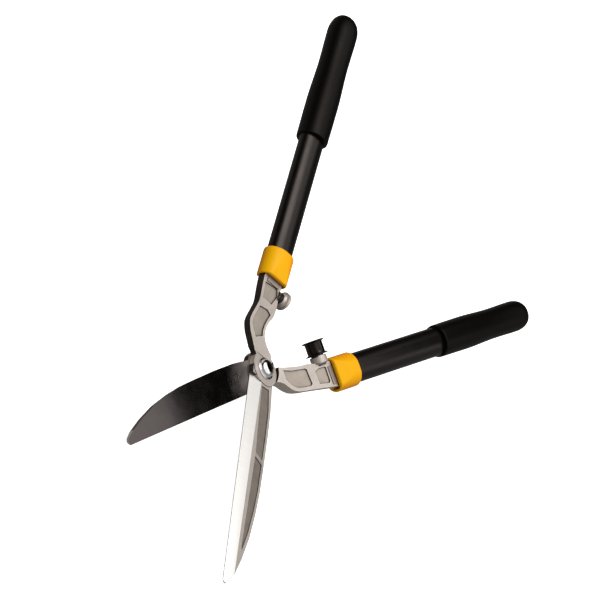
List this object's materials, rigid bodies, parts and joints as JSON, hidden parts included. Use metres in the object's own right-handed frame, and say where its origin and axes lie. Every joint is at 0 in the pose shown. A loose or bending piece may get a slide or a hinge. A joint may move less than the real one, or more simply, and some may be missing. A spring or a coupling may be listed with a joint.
{
  "type": "hedge shears",
  "caption": "Long-handled hedge shears: forged blades crossing at a bolt, cranked shanks, oval tube handles with soft grips, and a rubber bumper that stops them closing.",
  "frame": {"origin": "on the pivot axis, in the plane where the two blades slide on each other", "axes": "+Z along the pivot towards its domed head, -Y between the blades towards their tips, +Y between the handles towards the grips; the front half has its blade at +X and its handle at -X"},
  "size_m": [0.3958, 0.5785, 0.1274],
  "materials": {
    "forged_steel": "satin forging with a bright ground bevel and a polished sliding face",
    "collar_plastic": "semi-gloss moulded",
    "black_tube": "black powder coat, semi-gloss",
    "grip_rubber": "matt",
    "inner_plastic": "matt",
    "zinc_steel": "zinc plated",
    "bumper_rubber": "glossy",
    "pivot_chrome": "polished"
  },
  "bodies": {
    "rear_half": {"rear_blade": "forged_steel", "rear_collar": "collar_plastic", "rear_tube": "black_tube", "rear_grip": "grip_rubber", "rear_tube_plug": "inner_plastic", "rear_tang_liner": "inner_plastic", "rear_tang_pin": "zinc_steel", "bumper": "bumper_rubber", "bumper_stud": "zinc_steel", "pivot_back_washer": "zinc_steel"},
    "front_half": {"front_blade": "forged_steel", "front_collar": "collar_plastic", "front_tube": "black_tube", "front_grip": "grip_rubber", "front_tube_plug": "inner_plastic", "front_tang_liner": "inner_plastic", "front_tang_pin": "zinc_steel", "pivot_bolt": "pivot_chrome", "pivot_front_washer": "pivot_chrome", "pivot_spring_washer": "zinc_steel", "pivot_nut": "zinc_steel"}
  },
  "joints": [
    {"name": "pivot", "type": "hinge", "parent": "rear_half", "child": "front_half", "pos_m": [0, 0, 0], "axis": [0, 0, 1], "range_deg": [-40.5, 30]}
  ]
}
